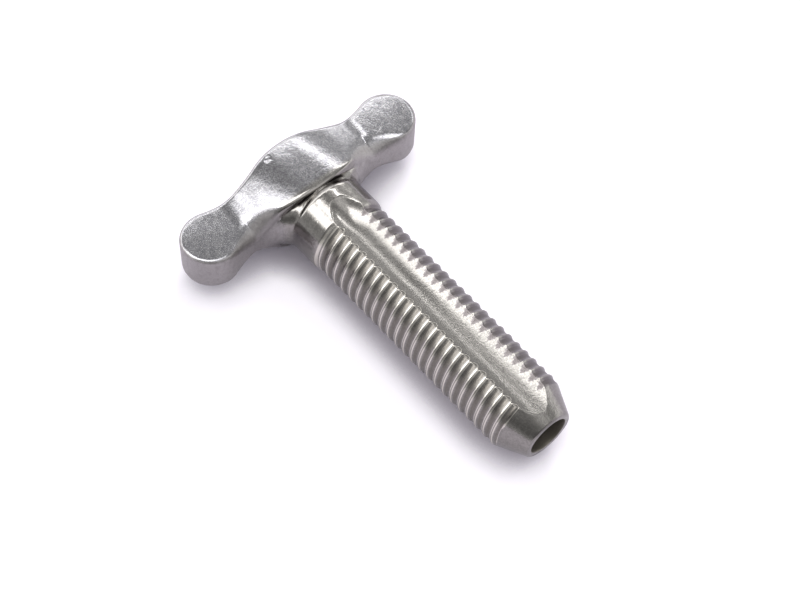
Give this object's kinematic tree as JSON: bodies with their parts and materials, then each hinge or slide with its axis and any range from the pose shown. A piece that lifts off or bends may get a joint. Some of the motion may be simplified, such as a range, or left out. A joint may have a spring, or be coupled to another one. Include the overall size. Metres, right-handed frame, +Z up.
{
  "type": "cable adjuster screw",
  "caption": "Hollow adjuster screw for a control cable: winged head, plain neck, threaded shank with a long flute, and a coned tip.",
  "frame": {"origin": "middle of the underside of the screw's box as it lies on its side, with the flute on top", "axes": "+X along the screw from the head to the tip, +Y along the wings, +Z up, out of the flute"},
  "size_m": [0.0372, 0.0268, 0.0083],
  "materials": {
    "plated_steel": "worn, dulled plating over a casting"
  },
  "bodies": {
    "root": {"adjuster_screw": "plated_steel"}
  },
  "joints": []
}
